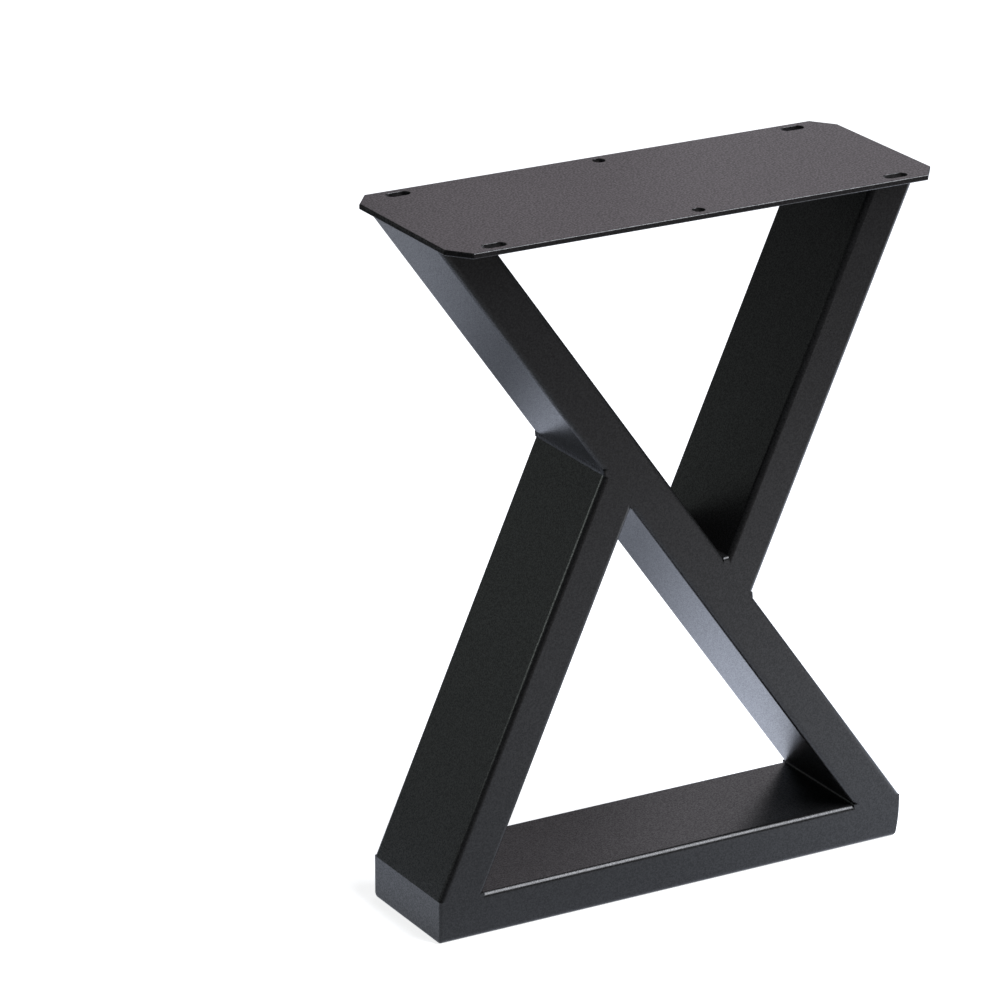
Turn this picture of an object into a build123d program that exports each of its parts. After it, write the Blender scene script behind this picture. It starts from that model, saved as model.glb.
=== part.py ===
from build123d import *
from math import acos, atan2, cos, hypot, radians, sin
import os

# Welded bench leg in the shape of a Z: a base tube, a full-length diagonal and two struts, all cut
# from one rectangular steel tube, under a flat plate that screws to the bench.
# Millimetres, +Z up. X runs along the plate and the base tube, Y across the tubes.
# The origin is on the floor, under the middle of the base tube.

os.makedirs("parts", exist_ok=True)

# Frame
leg_height = 406.4  # floor to the top of the plate
base_length = 304.8  # base tube over its two end caps
strut_lean = 24.0  # lean of both struts from upright, in degrees

# Rectangular tube
tube_depth = 76.2  # along Y
tube_thickness = 25.4  # as seen from the front
tube_wall = 2.0
tube_inside_radius = 1.2

# End caps of the base tube
cap_thickness = 4.8
cap_edge_round = 1.6
cap_grind_start = 5.0  # top of the base tube to where the right cap's face starts to run in
cap_grind_depth = 2.4  # how far that face has run in at the floor

# Mounting plate
plate_thickness = 3.2
plate_end_ledge = 1.6  # plate past the tubes at its two ends
plate_side_ledge = 22.2  # plate past the tubes at front and back
plate_corner_length = 10.5  # corner cuts, measured along the plate
plate_corner_width = 13.5  # corner cuts, measured across the plate
plate_edge_round = 0.7

# Screw holes in the plate
hole_edge_distance = 7.9  # long edge of the plate to the middle of a hole
slot_end_distance = 27.0  # end of the plate to the middle of a slot
slot_length = 14.3
slot_width = 7.1
hole_diameter = 7.1
hole_edge_round = 0.4  # rims of slots and holes

# Welds; a leg is how far a weld runs up each of the two faces that it joins
weld_plate_leg = 2.5  # under the plate
weld_wide_leg = 1.8  # in the wide corners between struts and diagonal
weld_notch_leg = 2.8  # in the notch above the upper strut's foot
weld_root_leg = 0.7  # in the other sharp corners
weld_end_share = 0.7  # rounding of a weld's front and back ends, as a share of its leg

# Heights and slopes that follow from the sizes above
tube_corner_radius = tube_inside_radius + tube_wall
base_top = tube_thickness
plate_underside = leg_height - plate_thickness
frame_rise = plate_underside - base_top
strut_tilt = radians(strut_lean)
diagonal_tilt = acos(tube_thickness / hypot(base_length, frame_rise)) - atan2(frame_rise, base_length)
member_reach = hypot(base_length, leg_height)  # longer than any member before its ends are cut

# Directions in the plane of the leg
rightward = Vector(1, 0, 0)
downward = Vector(0, 0, -1)
up_diagonal = Vector(-sin(diagonal_tilt), 0, cos(diagonal_tilt))
across_diagonal = Vector(cos(diagonal_tilt), 0, sin(diagonal_tilt))
up_strut = Vector(sin(strut_tilt), 0, cos(strut_tilt))
across_strut = Vector(cos(strut_tilt), 0, -sin(strut_tilt))

# Level width of each member, and the points where their outer edges start
strut_level_width = tube_thickness / cos(strut_tilt)
diagonal_level_width = tube_thickness / cos(diagonal_tilt)
frame_centre = Vector(0, 0, (base_top + plate_underside) / 2)
base_left_end = Vector(-base_length / 2, 0, base_top)
base_right_end = Vector(base_length / 2, 0, base_top)
plate_left_end = frame_centre * 2 - base_right_end
plate_right_end = frame_centre * 2 - base_left_end

# Planes that the tubes are drawn on
lower_strut_foot = base_left_end + rightward * (strut_level_width / 2)
upper_strut_head = plate_right_end - rightward * (strut_level_width / 2)
diagonal_section = Plane(frame_centre, x_dir=across_diagonal, z_dir=up_diagonal)
lower_strut_section = Plane(lower_strut_foot, x_dir=across_strut, z_dir=up_strut)
upper_strut_section = Plane(upper_strut_head, x_dir=across_strut, z_dir=up_strut)

# Planes that cut the tubes to length; the side that each one points to is kept
base_cut = Plane(base_left_end, z_dir=-downward)
plate_cut = Plane(plate_left_end, z_dir=downward)
left_mitre = Plane(frame_centre - across_diagonal * (tube_thickness / 2), z_dir=-across_diagonal)
right_mitre = Plane(frame_centre + across_diagonal * (tube_thickness / 2), z_dir=across_diagonal)


def tube_outline(width, height):
    RectangleRounded(width, height, tube_corner_radius)


def tube_ring(width, height):
    tube_outline(width, height)
    bore_width = width - 2 * tube_wall
    bore_height = height - 2 * tube_wall
    RectangleRounded(bore_width, bore_height, tube_inside_radius, mode=Mode.SUBTRACT)


def filled_tube(section, *cuts):
    # The whole space inside a tube's outer faces, which the welds are trimmed by.
    with BuildPart() as space:
        with BuildSketch(section):
            tube_outline(tube_thickness, tube_depth)
        extrude(amount=member_reach, both=True)
        for cut in cuts:
            split(bisect_by=cut)
    return space.part


# Base tube, between its end caps
base_tube_length = base_length - 2 * cap_thickness
with BuildPart() as base_tube:
    with BuildSketch(Plane.YZ):
        with Locations((0, tube_thickness / 2)):
            tube_ring(tube_depth, tube_thickness)
    extrude(amount=base_tube_length / 2, both=True)
base_tube.part.label = "base_tube"
export_step(base_tube.part, "parts/base_tube.step")

# End caps with the tube's own outline, their outer edge ground round
with BuildPart() as base_cap_left:
    with BuildSketch(Plane.YZ.offset(-base_length / 2)):
        with Locations((0, tube_thickness / 2)):
            tube_outline(tube_depth, tube_thickness)
    extrude(amount=cap_thickness)
    fillet(base_cap_left.faces().sort_by(Axis.X)[0].edges(), cap_edge_round)
base_cap_left.part.label = "base_cap_left"
export_step(base_cap_left.part, "parts/base_cap_left.step")

# The right cap's face is also ground to a slight curve, which runs in towards the floor
cap_back = base_length / 2 - cap_thickness
curve_start = (base_length / 2, tube_thickness - cap_grind_start)
curve_end = (base_length / 2 - cap_grind_depth, 0)
with BuildPart() as base_cap_right:
    with BuildSketch(Plane.YZ.offset(base_length / 2)):
        with Locations((0, tube_thickness / 2)):
            tube_outline(tube_depth, tube_thickness)
    extrude(amount=-cap_thickness)
    with BuildSketch(Plane.XZ):
        with BuildLine():
            top_outer = (base_length / 2, tube_thickness)
            Polyline(curve_end, (cap_back, 0), (cap_back, tube_thickness), top_outer, curve_start)
            TangentArc(curve_start, curve_end, tangent=(0, -1))
        make_face()
    extrude(amount=tube_depth / 2, both=True, mode=Mode.INTERSECT)
    outer_edges = base_cap_right.faces().sort_by(Axis.X)[-2:].edges()
    seam = outer_edges.filter_by(Axis.Y).group_by(Axis.Z)[1]
    fillet(outer_edges - seam, cap_edge_round)
base_cap_right.part.label = "base_cap_right"
export_step(base_cap_right.part, "parts/base_cap_right.step")

# Diagonal, cut level at both ends
with BuildPart() as diagonal_tube:
    with BuildSketch(diagonal_section):
        tube_ring(tube_thickness, tube_depth)
    extrude(amount=member_reach, both=True)
    split(bisect_by=base_cut)
    split(bisect_by=plate_cut)
diagonal_tube.part.label = "diagonal_tube"
export_step(diagonal_tube.part, "parts/diagonal_tube.step")

# Lower strut, cut level on the base tube and mitred to the left face of the diagonal
with BuildPart() as lower_strut:
    with BuildSketch(lower_strut_section):
        tube_ring(tube_thickness, tube_depth)
    extrude(amount=member_reach, both=True)
    split(bisect_by=base_cut)
    split(bisect_by=left_mitre)
lower_strut.part.label = "lower_strut"
export_step(lower_strut.part, "parts/lower_strut.step")

# Upper strut, cut level under the plate and mitred to the right face of the diagonal
with BuildPart() as upper_strut:
    with BuildSketch(upper_strut_section):
        tube_ring(tube_thickness, tube_depth)
    extrude(amount=member_reach, both=True)
    split(bisect_by=plate_cut)
    split(bisect_by=right_mitre)
upper_strut.part.label = "upper_strut"
export_step(upper_strut.part, "parts/upper_strut.step")

# Mounting plate with cut corners, a slot near each corner and a round hole halfway along each side
plate_length = base_length + 2 * plate_end_ledge
plate_width = tube_depth + 2 * plate_side_ledge
slot_spacing = plate_length - 2 * slot_end_distance
hole_row_spacing = plate_width - 2 * hole_edge_distance
end_x = plate_length / 2
side_y = plate_width / 2
cut_x = end_x - plate_corner_length
cut_y = side_y - plate_corner_width
right_half = [(cut_x, -side_y), (end_x, -cut_y), (end_x, cut_y), (cut_x, side_y)]
left_half = [(-x, -y) for x, y in right_half]
with BuildPart() as mounting_plate:
    with BuildSketch(Plane.XY.offset(plate_underside)):
        with BuildLine():
            Polyline(*right_half, *left_half, close=True)
        make_face()
    extrude(amount=plate_thickness)
    fillet(mounting_plate.faces().filter_by(Axis.Z).edges(), plate_edge_round)
    with BuildSketch(Plane.XY.offset(plate_underside)):
        with GridLocations(slot_spacing, hole_row_spacing, 2, 2):
            SlotOverall(slot_length, slot_width)
        with GridLocations(slot_spacing, hole_row_spacing, 1, 2):
            Circle(hole_diameter / 2)
    extrude(amount=plate_thickness, mode=Mode.SUBTRACT)
    flat_faces = mounting_plate.faces().filter_by(Axis.Z)
    rims = [wire for face in flat_faces for wire in face.inner_wires()]
    fillet(ShapeList(rims).edges(), hole_edge_round)
mounting_plate.part.label = "mounting_plate"
export_step(mounting_plate.part, "parts/mounting_plate.step")

# Spaces that trim the welds
diagonal_space = filled_tube(diagonal_section, base_cut, plate_cut)
lower_strut_space = filled_tube(lower_strut_section, base_cut, left_mitre)
upper_strut_space = filled_tube(upper_strut_section, plate_cut, right_mitre)
with BuildPart() as base_space:
    with BuildSketch(Plane.YZ):
        with Locations((0, tube_thickness / 2)):
            tube_outline(tube_depth, tube_thickness)
    extrude(amount=base_tube_length / 2, both=True)
    add(base_cap_left.part)
    add(base_cap_right.part)

# Corners where the lower strut and the diagonal run into what they stand against
lower_strut_heel = base_left_end + rightward * strut_level_width
diagonal_heel = base_right_end - rightward * diagonal_level_width


def on_left_mitre(start):
    reach = (left_mitre.origin - start).dot(left_mitre.z_dir) / up_strut.dot(left_mitre.z_dir)
    return start + up_strut * reach


def mitre_weld_outline(outer, inner, inner_leg):
    # A fillet in both corners between strut and diagonal. Between them the weld fills the groove
    # that the round tube edges leave at front and back, and runs out at the toe of each fillet.
    groove_run = tube_corner_radius / sin(strut_tilt + diagonal_tilt)
    return [
        outer + up_diagonal * weld_wide_leg,
        outer - up_strut * weld_wide_leg,
        outer - up_diagonal * groove_run,
        inner + up_diagonal * groove_run,
        inner - up_strut * inner_leg,
        inner - up_diagonal * inner_leg,
        inner + across_diagonal * tube_corner_radius,
        outer + across_diagonal * tube_corner_radius,
    ]


def seat_weld_outline(end, heel, up_member, member_tilt):
    # A fillet in the corner on the inner side only: at the base tube's end the weld is ground flush.
    inward = (heel - end).normalized()
    groove_run = tube_corner_radius / cos(member_tilt)
    return [
        end,
        heel - inward * groove_run,
        heel + up_member * weld_root_leg,
        heel + inward * weld_root_leg,
        heel + downward * tube_corner_radius,
        end + downward * tube_corner_radius,
    ]


def half_turned(points):
    # The frame looks the same after half a turn about its centre.
    return [frame_centre * 2 - point for point in points]


# Welds between the struts and the diagonal, ground flush with the front and back faces
wide_corner = on_left_mitre(base_left_end)
sharp_corner = on_left_mitre(lower_strut_heel)
lower_outline = mitre_weld_outline(wide_corner, sharp_corner, weld_root_leg)
upper_outline = half_turned(mitre_weld_outline(wide_corner, sharp_corner, weld_notch_leg))
wide_fillet_edges = Axis((0, 0, 0), up_diagonal + up_strut)
sharp_fillet_edges = Axis((0, 0, 0), up_diagonal - up_strut)
mitre_welds = {
    "weld_lower_strut_diagonal": (lower_outline, weld_root_leg, lower_strut_space),
    "weld_upper_strut_diagonal": (upper_outline, weld_notch_leg, upper_strut_space),
}
for name, (outline, sharp_leg, strut_space) in mitre_welds.items():
    with BuildPart() as weld:
        with BuildSketch(Plane.XZ):
            with BuildLine():
                Polyline(*[(point.X, point.Z) for point in outline], close=True)
            make_face()
        extrude(amount=tube_depth / 2, both=True)
        fillet(weld.edges().filter_by(wide_fillet_edges), weld_wide_leg * weld_end_share)
        fillet(weld.edges().filter_by(sharp_fillet_edges), sharp_leg * weld_end_share)
        add(strut_space, mode=Mode.SUBTRACT)
        add(diagonal_space, mode=Mode.SUBTRACT)
    weld.part.label = name
    export_step(weld.part, f"parts/{name}.step")

# Welds on the base tube, ground flush with its faces and rounded like its caps
strut_seat = seat_weld_outline(base_left_end, lower_strut_heel, up_strut, strut_tilt)
diagonal_seat = seat_weld_outline(base_right_end, diagonal_heel, up_diagonal, diagonal_tilt)
seat_welds = {
    "weld_lower_strut_base": (strut_seat, lower_strut_space),
    "weld_diagonal_base": (diagonal_seat, diagonal_space),
}
for name, (outline, member_space) in seat_welds.items():
    with BuildPart() as weld:
        with BuildSketch(Plane.XZ):
            with BuildLine():
                Polyline(*[(point.X, point.Z) for point in outline], close=True)
            make_face()
        extrude(amount=tube_depth / 2, both=True)
        fillet(weld.edges().filter_by(Axis.Z), cap_edge_round)
        add(member_space, mode=Mode.SUBTRACT)
        add(base_space.part, mode=Mode.SUBTRACT)
    weld.part.label = name
    export_step(weld.part, f"parts/{name}.step")

# Welds under the plate: a skirt round three sides of the member, and none at the plate's end, where
# it starts past the round edge. It narrows downwards, and its flanks run on into the member, which
# trims them.
skirt_depth = weld_plate_leg + tube_wall / 2
plate_welds = {
    "weld_diagonal_plate": (plate_left_end, rightward, diagonal_level_width, -up_diagonal, diagonal_space),
    "weld_upper_strut_plate": (plate_right_end, -rightward, strut_level_width, -up_strut, upper_strut_space),
}
for name, (end, inward, level_width, down_member, member_space) in plate_welds.items():
    start = level_width * tube_corner_radius / tube_thickness
    with BuildPart() as weld:
        for depth in (0, skirt_depth):
            reach = weld_plate_leg - depth  # how far the skirt stands out of the member at this depth
            middle = end + inward * ((start + level_width + reach) / 2)
            middle += down_member * (depth / -down_member.Z)
            with BuildSketch(Plane(middle)) as outline:
                Rectangle(level_width + reach - start, tube_depth + 2 * reach)
                inner_corners = outline.vertices().sort_by(Axis((0, 0, 0), inward))[-2:]
                fillet(inner_corners, tube_corner_radius + reach)
        loft()
        add(member_space, mode=Mode.SUBTRACT)
    weld.part.label = name
    export_step(weld.part, f"parts/{name}.step")
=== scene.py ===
import math

import bmesh
import bpy
from mathutils import Matrix, Vector


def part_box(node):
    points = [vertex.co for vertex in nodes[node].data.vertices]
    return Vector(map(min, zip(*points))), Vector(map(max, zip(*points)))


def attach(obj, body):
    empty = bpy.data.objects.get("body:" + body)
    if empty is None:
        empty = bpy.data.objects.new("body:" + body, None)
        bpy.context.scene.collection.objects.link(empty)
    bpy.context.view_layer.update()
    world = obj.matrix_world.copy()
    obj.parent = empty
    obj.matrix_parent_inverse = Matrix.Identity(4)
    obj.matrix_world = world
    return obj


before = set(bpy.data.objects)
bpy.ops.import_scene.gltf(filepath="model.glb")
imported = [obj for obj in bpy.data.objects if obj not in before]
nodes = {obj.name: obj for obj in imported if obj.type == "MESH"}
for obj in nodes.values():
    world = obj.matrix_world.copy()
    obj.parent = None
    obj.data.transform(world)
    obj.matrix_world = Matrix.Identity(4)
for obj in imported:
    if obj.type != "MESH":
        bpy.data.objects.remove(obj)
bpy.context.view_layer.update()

mm = 0.001
print("frame loaded with", len(nodes), "parts")


# helpers for node trees; a value is a number, a vector or another node's output

def link(tree, source, target):
    tree.links.new(source, target)


def feed(tree, value, socket):
    if isinstance(value, (int, float, tuple, Vector)):
        socket.default_value = value
    else:
        link(tree, value, socket)


def mathNode(tree, operation, first, second=None, third=None):
    node = tree.nodes.new("ShaderNodeMath")
    node.operation = operation
    for socket, value in zip(node.inputs, (first, second, third)):
        if value is not None:
            feed(tree, value, socket)
    return node.outputs[0]


def plus(tree, first, second):
    return mathNode(tree, "ADD", first, second)


def minus(tree, first, second):
    return mathNode(tree, "SUBTRACT", first, second)


def times(tree, first, second):
    return mathNode(tree, "MULTIPLY", first, second)


def over(tree, first, second):
    return mathNode(tree, "DIVIDE", first, second)


def timesPlus(tree, value, factor, offset):
    return mathNode(tree, "MULTIPLY_ADD", value, factor, offset)


def vectorNode(tree, operation, first, second=None, scale=None):
    node = tree.nodes.new("ShaderNodeVectorMath")
    node.operation = operation
    feed(tree, first, node.inputs[0])
    if second is not None:
        feed(tree, second, node.inputs[1])
    if scale is not None:
        feed(tree, scale, node.inputs["Scale"])
    return node.outputs["Value" if operation == "LENGTH" else "Vector"]


def splitNode(tree, vector):
    node = tree.nodes.new("ShaderNodeSeparateXYZ")
    link(tree, vector, node.inputs["Vector"])
    return node.outputs


def rangeNode(tree, value, fromLow, fromHigh, toLow=0.0, toHigh=1.0, smooth=False):
    node = tree.nodes.new("ShaderNodeMapRange")
    node.interpolation_type = "SMOOTHSTEP" if smooth else "LINEAR"
    for label, number in (("Value", value), ("From Min", fromLow), ("From Max", fromHigh),
                          ("To Min", toLow), ("To Max", toHigh)):
        feed(tree, number, node.inputs[label])
    return node.outputs["Result"]


def noiseNode(tree, vector, scale, detail=2.0, roughness=0.5):
    node = tree.nodes.new("ShaderNodeTexNoise")
    node.inputs["Detail"].default_value = detail
    node.inputs["Roughness"].default_value = roughness
    link(tree, vector, node.inputs["Vector"])
    feed(tree, scale, node.inputs["Scale"])
    return node.outputs["Fac"]


def addShaders(tree, first, second):
    node = tree.nodes.new("ShaderNodeAddShader")
    link(tree, first, node.inputs[0])
    link(tree, second, node.inputs[1])
    return node.outputs["Shader"]


def mixShaders(tree, factor, first, second):
    node = tree.nodes.new("ShaderNodeMixShader")
    link(tree, factor, node.inputs["Fac"])
    link(tree, first, node.inputs[1])
    link(tree, second, node.inputs[2])
    return node.outputs["Shader"]


def newGroup(name, kind, inputs, outputs):
    group = bpy.data.node_groups.new(name, kind)
    for label, socketType, value in inputs:
        socket = group.interface.new_socket(label, in_out="INPUT", socket_type=socketType)
        if value is not None:
            socket.default_value = value
    for label, socketType in outputs:
        group.interface.new_socket(label, in_out="OUTPUT", socket_type=socketType)
    return group, group.nodes.new("NodeGroupInput"), group.nodes.new("NodeGroupOutput")


# powder coat: one grain, shared by the four coats

# the slow noise changes the roughness over a whole face; the ranges cut a noise into specks;
# frontTurn: how far a face looks along Y before it counts as a front or back face
grainLook = dict(fineDetail=1.5, fineRoughness=0.6, fineShare=0.6, peelDetail=2.0,
                 slowScale=14.0, slowDetail=3.0, slowShare=0.4, speckRange=(0.34, 0.68),
                 glossFiner=1.17, glossDetail=1.0, glossRange=(0.36, 0.64), frontTurn=(0.55, 0.95))


def makePowderGrain():
    group, into, out = newGroup(
        "powderGrain", "ShaderNodeTree",
        [("Vector", "NodeSocketVector", None),
         ("Normal", "NodeSocketVector", None),
         ("Grain Scale", "NodeSocketFloat", 1000.0),   # grains per metre
         ("Peel Scale", "NodeSocketFloat", 300.0),     # slow waves of the flowed-out powder
         ("Peel Share", "NodeSocketFloat", 0.4),
         ("Roughness", "NodeSocketFloat", 0.29),
         ("Roughness Spread", "NodeSocketFloat", 0.10),
         ("Glaze", "NodeSocketFloat", 0.80),           # gloss of the shiniest grains on the narrow faces
         ("Front Low", "NodeSocketFloat", 0.10),       # least and most gloss on the front and back faces,
         ("Front High", "NodeSocketFloat", 0.45)],     # where the powder flowed out more evenly
        [("Height", "NodeSocketFloat"), ("Roughness", "NodeSocketFloat"), ("Speck", "NodeSocketFloat"),
         ("Glaze", "NodeSocketFloat")])
    given, look = into.outputs, grainLook
    place, grainScale = given["Vector"], given["Grain Scale"]
    fine = noiseNode(group, place, grainScale, look["fineDetail"], look["fineRoughness"])
    peel = noiseNode(group, place, given["Peel Scale"], look["peelDetail"])
    slow = noiseNode(group, place, look["slowScale"], look["slowDetail"])
    gloss = noiseNode(group, place, times(group, grainScale, look["glossFiner"]), look["glossDetail"])
    mixed = timesPlus(group, fine, look["fineShare"], times(group, slow, look["slowShare"]))
    swing = times(group, minus(group, mixed, 0.5), given["Roughness Spread"])
    turned = mathNode(group, "ABSOLUTE", splitNode(group, given["Normal"])["Y"])
    front = rangeNode(group, turned, *look["frontTurn"])
    least = times(group, front, given["Front Low"])
    most = rangeNode(group, front, 0.0, 1.0, given["Glaze"], given["Front High"])
    link(group, timesPlus(group, peel, given["Peel Share"], fine), out.inputs["Height"])
    link(group, plus(group, given["Roughness"], swing), out.inputs["Roughness"])
    link(group, rangeNode(group, fine, *look["speckRange"]), out.inputs["Speck"])
    link(group, rangeNode(group, gloss, *look["glossRange"], least, most), out.inputs["Glaze"])
    return group


powderGrain = makePowderGrain()

# the same on every coat; front: least and most gloss on the front and back faces
coatShared = dict(roughness=0.29, spread=0.10, peelShare=0.4, front=(0.10, 0.45), ior=1.42, glazeIor=1.5)

# dark and pale: colours between and on the grains; grain and peel: grains and waves per metre;
# depth: height of the grain in millimetres; glaze: gloss of the shiniest grains
coatLooks = {
    "tubeCoat": dict(dark=(0.0020, 0.0020, 0.0021), pale=(0.0095, 0.0095, 0.0098),
                     grain=1000.0, peel=300.0, depth=0.03, glaze=0.80),
    "plateCoat": dict(dark=(0.0022, 0.0020, 0.0022), pale=(0.0110, 0.0102, 0.0108),
                      grain=780.0, peel=300.0, depth=0.03, glaze=0.95),
    "weldCoat": dict(dark=(0.0020, 0.0020, 0.0021), pale=(0.0100, 0.0100, 0.0103),
                     grain=950.0, peel=420.0, depth=0.07, glaze=0.50),
    "capCoat": dict(dark=(0.0020, 0.0021, 0.0021), pale=(0.0095, 0.0098, 0.0097),
                    grain=1000.0, peel=300.0, depth=0.03, glaze=0.50),
}


def makeCoat(name):
    look = coatLooks[name]
    frontLow, frontHigh = coatShared["front"]
    material = bpy.data.materials.new(name)
    material.use_nodes = True
    tree = material.node_tree
    shader = tree.nodes["Principled BSDF"]
    shader.inputs["IOR"].default_value = coatShared["ior"]
    shader.inputs["Coat IOR"].default_value = coatShared["glazeIor"]
    shader.inputs["Coat Roughness"].default_value = coatShared["roughness"]
    place = tree.nodes.new("ShaderNodeTexCoord")
    grain = tree.nodes.new("ShaderNodeGroup")
    grain.node_tree = powderGrain
    link(tree, place.outputs["Object"], grain.inputs["Vector"])
    link(tree, place.outputs["Normal"], grain.inputs["Normal"])
    values = {"Grain Scale": look["grain"], "Peel Scale": look["peel"], "Peel Share": coatShared["peelShare"],
              "Roughness": coatShared["roughness"], "Roughness Spread": coatShared["spread"],
              "Glaze": look["glaze"], "Front Low": frontLow, "Front High": frontHigh}
    for label, value in values.items():
        grain.inputs[label].default_value = value
    blend = tree.nodes.new("ShaderNodeMix")
    blend.data_type = "RGBA"
    blend.inputs["A"].default_value = (*look["dark"], 1.0)
    blend.inputs["B"].default_value = (*look["pale"], 1.0)
    link(tree, grain.outputs["Speck"], blend.inputs["Factor"])
    link(tree, blend.outputs["Result"], shader.inputs["Base Color"])
    link(tree, grain.outputs["Roughness"], shader.inputs["Roughness"])
    link(tree, grain.outputs["Glaze"], shader.inputs["Coat Weight"])
    bump = tree.nodes.new("ShaderNodeBump")
    bump.inputs["Strength"].default_value = 1.0
    bump.inputs["Distance"].default_value = look["depth"] * mm
    link(tree, grain.outputs["Height"], bump.inputs["Height"])
    link(tree, bump.outputs["Normal"], shader.inputs["Normal"])
    return material


coats = {name: makeCoat(name) for name in coatLooks}
coatOf = {"mounting_plate": "plateCoat", "base_cap_left": "capCoat", "base_cap_right": "capCoat"}
for nodeName, part in nodes.items():
    coatName = "weldCoat" if nodeName.startswith("weld_") else coatOf.get(nodeName, "tubeCoat")
    for materialSlot in part.material_slots:
        materialSlot.material = coats[coatName]
print("coats on", len(nodes), "parts")


# corners between the tubes, worked out from the parts' boxes

def boxOf(nodeName):
    lowCorner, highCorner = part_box(nodeName)
    return Vector(lowCorner), Vector(highCorner)


def readCorners():
    baseLow, baseHigh = boxOf("base_cap_left")
    diagonalLow, diagonalHigh = boxOf("diagonal_tube")
    strutHigh = boxOf("lower_strut")[1]
    plateUnder = boxOf("mounting_plate")[0].z
    thick, baseTop = baseHigh.z - baseLow.z, baseHigh.z
    leftEnd, rightEnd = diagonalLow.x, diagonalHigh.x
    rise, run = plateUnder - baseTop, rightEnd - leftEnd
    tilt = math.acos(thick / math.hypot(run, rise)) - math.atan2(rise, run)
    wide = Vector((leftEnd + (plateUnder - strutHigh.z) * math.tan(tilt), 0.0, strutHigh.z))
    lean = math.atan2(wide.x - leftEnd, wide.z - baseTop)
    sharp = Vector((strutHigh.x, 0.0, plateUnder - (strutHigh.x - leftEnd) / math.tan(tilt)))
    centre = Vector(((leftEnd + rightEnd) / 2, 0.0, (baseTop + plateUnder) / 2))
    return dict(
        thick=thick, depth=baseHigh.y - baseLow.y, plateUnder=plateUnder, leftEnd=leftEnd, rightEnd=rightEnd,
        tilt=tilt, lean=lean,                 # of the diagonal and the struts, from upright
        upDiagonal=Vector((-math.sin(tilt), 0.0, math.cos(tilt))),
        upStrut=Vector((math.sin(lean), 0.0, math.cos(lean))),
        wide=wide,                            # lower strut's outer face against the diagonal
        crook=centre * 2 - wide,              # upper strut's outer face against the diagonal
        notch=centre * 2 - sharp,             # upper strut's inner face against the diagonal
        baseCorner=Vector((rightEnd - thick / math.cos(tilt), 0.0, baseTop)))


corners = readCorners()


# weld beads laid over the fillets; a bead follows a path, with one leg up each of the two faces that it joins

# rows across a bead, the last two of which close it behind its face, and steps along each ripple;
# sink: depth of the toes under the two faces, and bow: how far a ripple bows, both as shares of the leg;
# drift: places per metre at which the bead changes, and sway: how far that shifts a ripple, in ripples;
# joined: points of a closed end this near, in millimetres, become one
beadForm = dict(rows=14, steps=7, sink=0.06, bow=0.6, drift=140.0, sway=0.5, joined=0.002)


def enabledSocket(sockets, name):
    return next(socket for socket in sockets if socket.name == name and socket.enabled)


def samplePath(tree, curve, factor, attribute):
    reader = tree.nodes.new("GeometryNodeInputNamedAttribute")
    reader.data_type = "FLOAT_VECTOR"
    reader.inputs["Name"].default_value = attribute
    sample = tree.nodes.new("GeometryNodeSampleCurve")
    sample.mode = "FACTOR"
    sample.data_type = "FLOAT_VECTOR"
    link(tree, curve, sample.inputs["Curves"])
    link(tree, enabledSocket(reader.outputs, "Attribute"), enabledSocket(sample.inputs, "Value"))
    link(tree, factor, sample.inputs["Factor"])
    return sample


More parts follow.
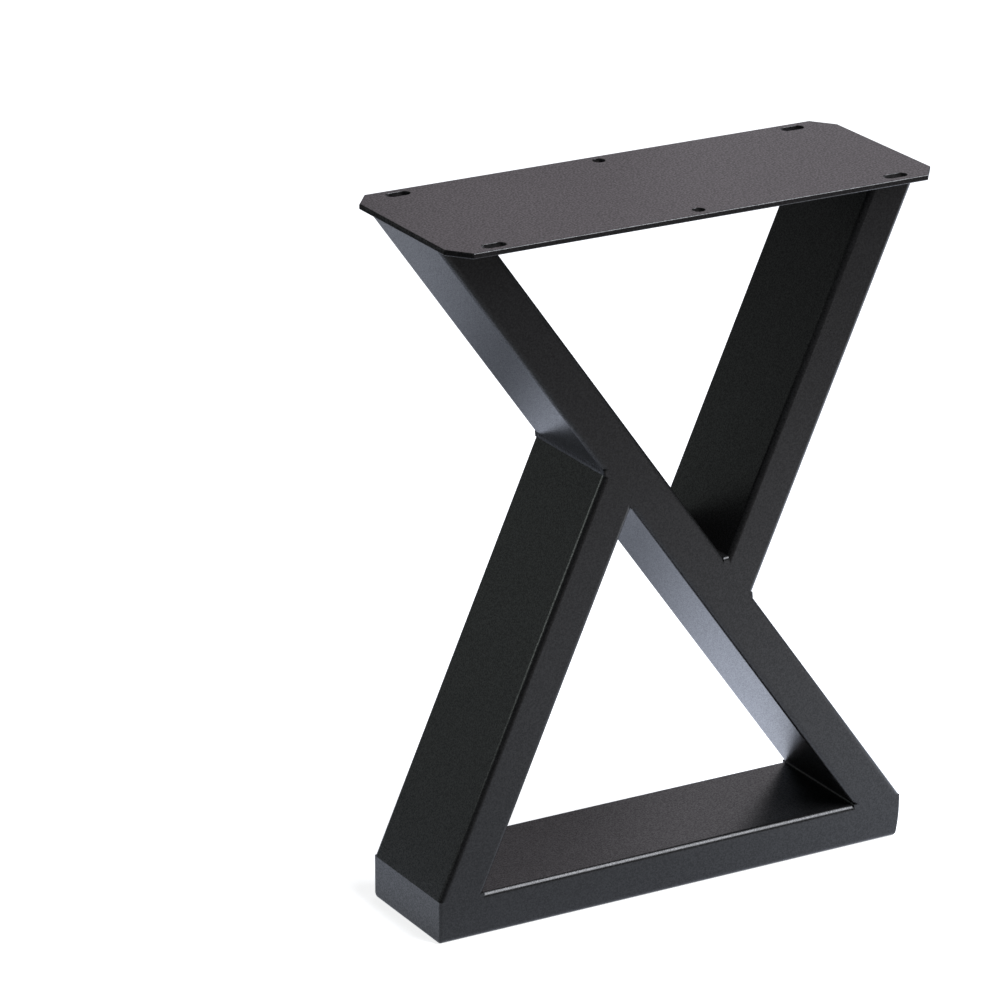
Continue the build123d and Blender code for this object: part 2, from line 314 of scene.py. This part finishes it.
def makeBeadTree():
    tree, into, out = newGroup(
        "weldBead", "GeometryNodeTree",
        [("Path", "NodeSocketGeometry", None),
         ("Leg", "NodeSocketFloat", 0.0020),
         ("Crown", "NodeSocketFloat", 0.10),           # how far the face bulges, as a share of the leg
         ("Ripple Pitch", "NodeSocketFloat", 0.0020),
         ("Ripple Height", "NodeSocketFloat", 0.0001),
         ("Wander", "NodeSocketFloat", 0.10),          # slow change of the leg, as a share of it
         ("Run Out", "NodeSocketFloat", 0.0030),       # length over which the two ends taper
         ("Seed", "NodeSocketFloat", 1.0),
         ("Coat", "NodeSocketMaterial", None)],
        [("Bead", "NodeSocketGeometry")])
    given, rows, sink = into.outputs, beadForm["rows"], beadForm["sink"]
    leg, pitch = given["Leg"], given["Ripple Pitch"]
    toCurve = tree.nodes.new("GeometryNodeMeshToCurve")
    link(tree, given["Path"], toCurve.inputs["Mesh"])
    curve = toCurve.outputs["Curve"]
    measure = tree.nodes.new("GeometryNodeCurveLength")
    link(tree, curve, measure.inputs["Curve"])
    length = measure.outputs["Length"]

    # a flat grid with enough steps for the ripples
    grid = tree.nodes.new("GeometryNodeMeshGrid")
    grid.inputs["Size X"].default_value = 1.0
    grid.inputs["Size Y"].default_value = 1.0
    steps = times(tree, over(tree, length, pitch), beadForm["steps"])
    link(tree, mathNode(tree, "CEIL", steps), grid.inputs["Vertices X"])
    grid.inputs["Vertices Y"].default_value = rows
    where = splitNode(tree, tree.nodes.new("GeometryNodeInputPosition").outputs["Position"])
    along = plus(tree, where["X"], 0.5)
    row = mathNode(tree, "ROUND", times(tree, plus(tree, where["Y"], 0.5), rows - 1))
    isBack = mathNode(tree, "COMPARE", row, rows - 2, 0.1)
    isLast = mathNode(tree, "COMPARE", row, rows - 1, 0.1)
    onFace = minus(tree, 1.0, mathNode(tree, "MAXIMUM", isBack, isLast))
    across = times(tree, over(tree, row, rows - 3), onFace)
    bulge = mathNode(tree, "SINE", times(tree, across, math.pi))
    travel = times(tree, along, length)
    toEnd = mathNode(tree, "MINIMUM", travel, minus(tree, length, travel))
    endTaper = mathNode(tree, "SQRT", rangeNode(tree, toEnd, 0.0, given["Run Out"], smooth=True))

    # slow change along the bead, then the ripples
    spot = tree.nodes.new("ShaderNodeCombineXYZ")
    link(tree, travel, spot.inputs["X"])
    link(tree, given["Seed"], spot.inputs["Y"])
    drift = tree.nodes.new("ShaderNodeTexNoise")
    drift.noise_dimensions = "2D"
    drift.inputs["Scale"].default_value = beadForm["drift"]
    link(tree, spot.outputs["Vector"], drift.inputs["Vector"])
    sway = times(tree, minus(tree, drift.outputs["Fac"], 0.5), 2.0)
    bowed = timesPlus(tree, times(tree, bulge, leg), beadForm["bow"], travel)
    phase = plus(tree, over(tree, bowed, pitch), times(tree, sway, beadForm["sway"]))
    wave = mathNode(tree, "COSINE", times(tree, phase, 2 * math.pi))
    grown = timesPlus(tree, sway, given["Wander"], 1.0)
    legNow = times(tree, times(tree, leg, grown), endTaper)
    lift = times(tree, times(tree, given["Ripple Height"], wave), times(tree, bulge, endTaper))

    # from toe to toe over the face, and back behind it
    crown = times(tree, given["Crown"], bulge)
    notBack = minus(tree, 1.0, isBack)
    toes = timesPlus(tree, across, -1.0 - sink, 1.0), timesPlus(tree, across, 1.0 + sink, -sink)
    samples = [samplePath(tree, curve, along, label) for label in ("legOne", "legTwo")]
    directions = [enabledSocket(sample.outputs, "Value") for sample in samples]
    place = samples[0].outputs["Position"]
    for direction, toe in zip(directions, toes):
        face = times(tree, plus(tree, toe, crown), notBack)
        share = plus(tree, face, times(tree, isBack, -sink))
        reach = vectorNode(tree, "SCALE", direction, scale=times(tree, share, legNow))
        place = vectorNode(tree, "ADD", place, reach)
    outward = vectorNode(tree, "NORMALIZE", vectorNode(tree, "ADD", *directions))
    place = vectorNode(tree, "ADD", place, vectorNode(tree, "SCALE", outward, scale=lift))
    move = tree.nodes.new("GeometryNodeSetPosition")
    link(tree, grid.outputs["Mesh"], move.inputs["Geometry"])
    link(tree, place, move.inputs["Position"])
    merge = tree.nodes.new("GeometryNodeMergeByDistance")
    merge.inputs["Distance"].default_value = beadForm["joined"] * mm
    link(tree, move.outputs["Geometry"], merge.inputs["Geometry"])
    smooth = tree.nodes.new("GeometryNodeSetShadeSmooth")
    link(tree, merge.outputs["Geometry"], smooth.inputs["Geometry"])
    realize = tree.nodes.new("GeometryNodeRealizeInstances")
    link(tree, smooth.outputs["Geometry"], realize.inputs["Geometry"])
    paint = tree.nodes.new("GeometryNodeSetMaterial")
    link(tree, realize.outputs["Geometry"], paint.inputs["Geometry"])
    link(tree, given["Coat"], paint.inputs["Material"])
    link(tree, paint.outputs["Geometry"], out.inputs["Bead"])
    return tree


beadTree = makeBeadTree()

# leg, ripple pitch, ripple height and run-out in millimetres, crown and wander as shares of the leg
beadLooks = {
    "bead_lower_joint": dict(leg=1.9, crown=0.07, pitch=2.6, height=0.04, wander=0.10,
                             runOut=4.0, seed=3.1),
    "bead_upper_joint": dict(leg=1.9, crown=0.07, pitch=2.6, height=0.04, wander=0.10,
                             runOut=4.0, seed=7.4),
    "bead_notch": dict(leg=2.9, crown=0.05, pitch=2.3, height=0.10, wander=0.08,
                       runOut=5.0, seed=12.6),
    "bead_base_corner": dict(leg=1.0, crown=0.04, pitch=2.0, height=0.04, wander=0.06,
                             runOut=1.2, seed=15.2),
    "bead_diagonal_plate": dict(leg=2.6, crown=0.10, pitch=2.2, height=0.13, wander=0.12,
                                runOut=4.0, seed=18.3),
    "bead_strut_plate": dict(leg=2.6, crown=0.10, pitch=2.2, height=0.13, wander=0.12,
                             runOut=4.0, seed=25.9),
}
jointInset = 1.4 * mm            # the beads across the joints stop short of the front and back faces;
baseCornerInset = 3.4 * mm       # the one in the base's corner ends where the tubes round off,
baseCornerLegs = (1.3, 1.1)      # and climbs the diagonal a little more than it spreads over the base

# the beads under the plate start this far from its end and turn with the tube's edge, in millimetres
skirtLook = dict(start=5.0, turn=3.2, turnSteps=6)


def straightPath(corner, legOne, legTwo, inset):
    reach = corners["depth"] / 2 - inset
    return [(corner + Vector((0.0, y, 0.0)), legOne, legTwo) for y in (-reach, reach)]


def skirtPath(endX, inward, levelWidth, downSlope):
    # round three sides of a tube under the plate, from the front to the back
    halfDepth, turn, z = corners["depth"] / 2, skirtLook["turn"] * mm, corners["plateUnder"]
    startX = endX + inward * skirtLook["start"] * mm
    cornerX = endX + inward * (levelWidth - turn)
    down = Vector((0.0, 0.0, -1.0))
    points = []
    for side in (-1.0, 1.0):
        half = [(Vector((startX, side * halfDepth, z)), Vector((0.0, side, 0.0)), down)]
        middle = Vector((cornerX, side * (halfDepth - turn), z))
        for step in range(skirtLook["turnSteps"] + 1):
            swing = math.pi / 2 * step / skirtLook["turnSteps"]
            outward = Vector((inward * math.sin(swing), side * math.cos(swing), 0.0))
            slope = down.lerp(downSlope, math.sin(swing) ** 2).normalized()
            half.append((middle + outward * turn, outward, slope))
        points += half if side < 0 else half[::-1]
    return points


upDiagonal, upStrut = corners["upDiagonal"], corners["upStrut"]
diagonalLevel = corners["thick"] / math.cos(corners["tilt"])      # widths of the tubes, measured level
strutLevel = corners["thick"] / math.cos(corners["lean"])
beadPaths = {
    "bead_lower_joint": straightPath(corners["wide"], upDiagonal, -upStrut, jointInset),
    "bead_upper_joint": straightPath(corners["crook"], -upDiagonal, upStrut, jointInset),
    "bead_notch": straightPath(corners["notch"], upDiagonal, upStrut, jointInset),
    "bead_base_corner": straightPath(corners["baseCorner"], upDiagonal * baseCornerLegs[0],
                                     Vector((-baseCornerLegs[1], 0.0, 0.0)), baseCornerInset),
    "bead_diagonal_plate": skirtPath(corners["leftEnd"], 1.0, diagonalLevel, -upDiagonal),
    "bead_strut_plate": skirtPath(corners["rightEnd"], -1.0, strutLevel, -upStrut),
}


def makeBead(name):
    look, points = beadLooks[name], beadPaths[name]
    path = bpy.data.meshes.new(name + "_path")
    path.from_pydata([entry[0] for entry in points], [(i, i + 1) for i in range(len(points) - 1)], [])
    for label, pick in (("legOne", 1), ("legTwo", 2)):
        layer = path.attributes.new(label, "FLOAT_VECTOR", "POINT")
        for i, entry in enumerate(points):
            layer.data[i].vector = entry[pick]
    bead = bpy.data.objects.new(name, path)
    bpy.context.scene.collection.objects.link(bead)
    modifier = bead.modifiers.new("weldBead", "NODES")
    modifier.node_group = beadTree
    values = {"Leg": look["leg"] * mm, "Crown": look["crown"], "Ripple Pitch": look["pitch"] * mm,
              "Ripple Height": look["height"] * mm, "Wander": look["wander"], "Run Out": look["runOut"] * mm,
              "Seed": look["seed"], "Coat": coats["weldCoat"]}
    for socket in beadTree.interface.items_tree:
        if socket.item_type == "SOCKET" and socket.in_out == "INPUT" and socket.name in values:
            modifier[socket.identifier] = values[socket.name]
    depsgraph = bpy.context.evaluated_depsgraph_get()
    plain = bpy.data.meshes.new_from_object(bead.evaluated_get(depsgraph), depsgraph=depsgraph)
    bead.modifiers.remove(modifier)
    shape = bmesh.new()
    shape.from_mesh(plain)
    bmesh.ops.recalc_face_normals(shape, faces=shape.faces)
    shape.to_mesh(plain)
    shape.free()
    plain.name = name
    bead.data = plain
    bpy.data.meshes.remove(path)
    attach(bead, "root")
    print("bead", name, len(plain.polygons), "faces")


for beadName in beadLooks:
    makeBead(beadName)


# floor and world, with places in metres

# lift: what the camera adds so that the floor is white, at the leg and, past liftReach, far off;
# pool: a painted pool of light on the floor that only the coat's reflections see, brightest on the right and
# fading out;
# tints: the painted colour of that pool from the front of the floor to behind the leg;
# shadowShare: the part of the pool that shadows fall on
stageLook = dict(floorRadius=6.0, floorSides=96, floorColour=(0.82, 0.84, 0.87),
                 lift=(0.80, 1.0), liftReach=(1.2, 4.0),
                 poolAt=(0.90, 0.063), poolBright=4.0, poolReach=0.681, poolFade=1.357, poolFront=1.55,
                 poolMost=1.5, shadowShare=0.4,
                 tints=(dict(at=-0.90, colour=(1.00, 0.93, 0.89)), dict(at=-0.12, colour=(0.94, 0.98, 1.06)),
                        dict(at=0.12, colour=(0.92, 0.99, 1.16)), dict(at=0.55, colour=(0.92, 0.99, 1.16)),
                        dict(at=0.95, colour=(0.97, 0.98, 1.02))),
                 # painted light: bright spots in the pool, which the coat mirrors
                 lightSpots=(dict(at=(-0.22, 0.12), bright=0.42, reach=(0.30, 0.05)),
                        dict(at=(0.03, 0.375), bright=0.95, reach=(0.10, 0.01)),
                        dict(at=(-0.30, 0.37), bright=0.60, reach=(0.16, 0.03)),
                        dict(at=(-0.35, -1.50), bright=0.45, reach=(0.80, 0.40))),
                 # painted shade: dark bands across the pool, which the coat mirrors
                 shadeBands=(dict(at=0.468, width=0.052, depth=1.0), dict(at=0.300, width=0.075, depth=0.70)),
                 worldColour=(0.95, 0.98, 1.0), worldStrength=0.08)


# painted light: a pool of light painted on the floor for the coat to mirror, with painted bright spots and
# painted dark bands
def makePaintedPool(tree, x, y):
    awayX = minus(tree, x, stageLook["poolAt"][0])
    awayY = minus(tree, y, stageLook["poolAt"][1])
    awayY = mathNode(tree, "MAXIMUM", awayY, times(tree, awayY, -stageLook["poolFront"]))
    away = mathNode(tree, "SQRT", timesPlus(tree, awayX, awayX, times(tree, awayY, awayY)))
    fade = mathNode(tree, "POWER", over(tree, away, stageLook["poolReach"]), stageLook["poolFade"])
    pool = times(tree, mathNode(tree, "EXPONENT", times(tree, fade, -1.0)), stageLook["poolBright"])
    pool = mathNode(tree, "MINIMUM", pool, stageLook["poolMost"])
    for shadeBand in stageLook["shadeBands"]:                      # painted shade: soft dark bands across the floor, mirrored by the coat
        off = over(tree, minus(tree, y, shadeBand["at"]), shadeBand["width"])
        dip = mathNode(tree, "EXPONENT", times(tree, times(tree, off, off), -0.5))
        pool = times(tree, pool, timesPlus(tree, dip, -shadeBand["depth"], 1.0))
    for spot in stageLook["lightSpots"]:                      # painted light: soft bright spots, mirrored by the coat
        sideX = minus(tree, x, spot["at"][0])
        sideY = minus(tree, y, spot["at"][1])
        side = mathNode(tree, "SQRT", timesPlus(tree, sideX, sideX, times(tree, sideY, sideY)))
        pool = plus(tree, pool, rangeNode(tree, side, *spot["reach"], 0.0, spot["bright"], smooth=True))
    return pool


def makeTint(tree, y):
    stops = stageLook["tints"]
    first, last = stops[0]["at"], stops[-1]["at"]
    ramp = tree.nodes.new("ShaderNodeValToRGB")
    link(tree, rangeNode(tree, y, first, last), ramp.inputs["Fac"])
    marks = ramp.color_ramp.elements
    marks.remove(marks[1])
    marks[0].color = (*stops[0]["colour"], 1.0)
    for stop in stops[1:]:
        marks.new((stop["at"] - first) / (last - first)).color = (*stop["colour"], 1.0)
    return ramp.outputs["Color"]


def directRay(tree, path):
    return mathNode(tree, "MAXIMUM", path.outputs["Is Camera Ray"], path.outputs["Is Transmission Ray"])


def makeFloorPaint():
    material = bpy.data.materials.new("paleFloor")
    material.use_nodes = True
    material.cycles.emission_sampling = "NONE"
    tree = material.node_tree
    tree.nodes.clear()
    out = tree.nodes.new("ShaderNodeOutputMaterial")
    path = tree.nodes.new("ShaderNodeLightPath")
    place = tree.nodes.new("ShaderNodeTexCoord").outputs["Object"]
    split = splitNode(tree, place)
    paint = tree.nodes.new("ShaderNodeBsdfDiffuse")
    paint.inputs["Color"].default_value = (*stageLook["floorColour"], 1.0)
    lift = tree.nodes.new("ShaderNodeEmission")
    away = vectorNode(tree, "LENGTH", place)
    link(tree, rangeNode(tree, away, *stageLook["liftReach"], *stageLook["lift"], smooth=True),
         lift.inputs["Strength"])
    lifted = addShaders(tree, paint.outputs["BSDF"], lift.outputs["Emission"])
    # painted light: glossy rays see the painted pool, part of it glowing and part lit by the lamps so that
    # real shadows fall on it
    bright = makePaintedPool(tree, split["X"], split["Y"])
    tint = makeTint(tree, split["Y"])
    shaded = tree.nodes.new("ShaderNodeBsdfDiffuse")
    link(tree, vectorNode(tree, "SCALE", tint, scale=times(tree, bright, stageLook["shadowShare"])),
         shaded.inputs["Color"])
    paintedGlow = tree.nodes.new("ShaderNodeEmission")
    link(tree, tint, paintedGlow.inputs["Color"])
    link(tree, times(tree, bright, 1.0 - stageLook["shadowShare"]), paintedGlow.inputs["Strength"])
    pool = addShaders(tree, shaded.outputs["BSDF"], paintedGlow.outputs["Emission"])
    mirrored = mixShaders(tree, path.outputs["Is Glossy Ray"], paint.outputs["BSDF"], pool)
    seen = mixShaders(tree, directRay(tree, path), mirrored, lifted)
    side = tree.nodes.new("ShaderNodeNewGeometry")       # the floor can be looked through from below
    clear = tree.nodes.new("ShaderNodeBsdfTransparent")
    topOnly = mixShaders(tree, side.outputs["Backfacing"], seen, clear.outputs["BSDF"])
    link(tree, topOnly, out.inputs["Surface"])
    return material


def makeFloor():
    mesh = bpy.data.meshes.new("studio_floor")
    shape = bmesh.new()
    bmesh.ops.create_circle(shape, cap_ends=True, segments=stageLook["floorSides"],
                            radius=stageLook["floorRadius"])
    shape.to_mesh(mesh)
    shape.free()
    mesh.materials.append(makeFloorPaint())
    floor = bpy.data.objects.new("studio_floor", mesh)
    bpy.context.scene.collection.objects.link(floor)


def makeWorld():
    world = bpy.data.worlds.new("studio")
    bpy.context.scene.world = world
    world.use_nodes = True
    tree = world.node_tree
    tree.nodes.clear()
    out = tree.nodes.new("ShaderNodeOutputWorld")
    path = tree.nodes.new("ShaderNodeLightPath")
    room = tree.nodes.new("ShaderNodeBackground")
    room.inputs["Color"].default_value = (*stageLook["worldColour"], 1.0)
    room.inputs["Strength"].default_value = stageLook["worldStrength"]
    white = tree.nodes.new("ShaderNodeBackground")
    white.inputs["Color"].default_value = (1.0, 1.0, 1.0, 1.0)
    pick = mixShaders(tree, directRay(tree, path), room.outputs["Background"], white.outputs["Background"])
    link(tree, pick, out.inputs["Surface"])


# each light: place, aim, width and height in metres, brightness of its face and colour
lights = {
    "keyBox": dict(at=(1.03, -1.07, 1.83), aim=(0.0, 0.0, 0.2), size=(1.58, 1.58), bright=9.4,
                   colour=(0.96, 0.98, 1.04)),
    "plateScreen": dict(at=(0.86, 0.95, 1.05), aim=(0.05, 0.0, 0.40), size=(1.05, 0.66), bright=0.53,
                        colour=(1.0, 0.89, 0.98)),
    "baseScreen": dict(at=(0.90, 0.86, 0.40), aim=(0.90, 0.0, 0.24), size=(0.78, 0.42), bright=0.42,
                       colour=(0.98, 0.95, 1.02)),
    "leftScreen": dict(at=(-1.05, 0.34, 0.50), aim=(0.0, 0.34, 0.50), size=(0.56, 0.22), bright=3.1,
                       colour=(0.94, 1.02, 0.98)),
    "backLeftScreen": dict(at=(-1.05, 1.35, 0.30), aim=(-0.1, 0.0, 0.2), size=(1.1, 0.5), bright=0.18,
                           colour=(0.92, 1.03, 0.98)),
}


def makeLight(name):
    look = lights[name]
    data = bpy.data.lights.new(name, "AREA")
    data.shape = "RECTANGLE"
    data.size, data.size_y = look["size"]
    data.energy = look["bright"] * math.pi * data.size * data.size_y
    data.color = look["colour"]
    lamp = bpy.data.objects.new(name, data)
    bpy.context.scene.collection.objects.link(lamp)
    lamp.location = look["at"]
    lamp.rotation_euler = (Vector(look["aim"]) - Vector(look["at"])).to_track_quat("-Z", "Y").to_euler()
    lamp.visible_camera = False


# angles in degrees, sensor and lens in millimetres
cameraLook = dict(aim=(-0.0661, 0.0465, 0.2198), azimuth=-29.89, elevation=20.40, roll=0.10, distance=3.0727,
                  sensor=36.0, lens=197.85)


def makeCamera():
    data = bpy.data.cameras.new("camera")
    data.sensor_width = cameraLook["sensor"]
    data.lens = cameraLook["lens"]
    camera = bpy.data.objects.new("camera", data)
    bpy.context.scene.collection.objects.link(camera)
    azimuth, elevation = math.radians(cameraLook["azimuth"]), math.radians(cameraLook["elevation"])
    back = Vector((math.sin(azimuth) * math.cos(elevation), -math.cos(azimuth) * math.cos(elevation),
                   math.sin(elevation)))
    camera.location = Vector(cameraLook["aim"]) + back * cameraLook["distance"]
    roll = Matrix.Rotation(math.radians(cameraLook["roll"]), 3, "Z")
    camera.rotation_euler = ((-back).to_track_quat("-Z", "Y").to_matrix() @ roll).to_euler()
    bpy.context.scene.camera = camera


makeFloor()
makeWorld()
for lightName in lights:
    makeLight(lightName)
makeCamera()
bpy.context.scene.view_settings.view_transform = "Standard"
print("stage, lights and camera in place")
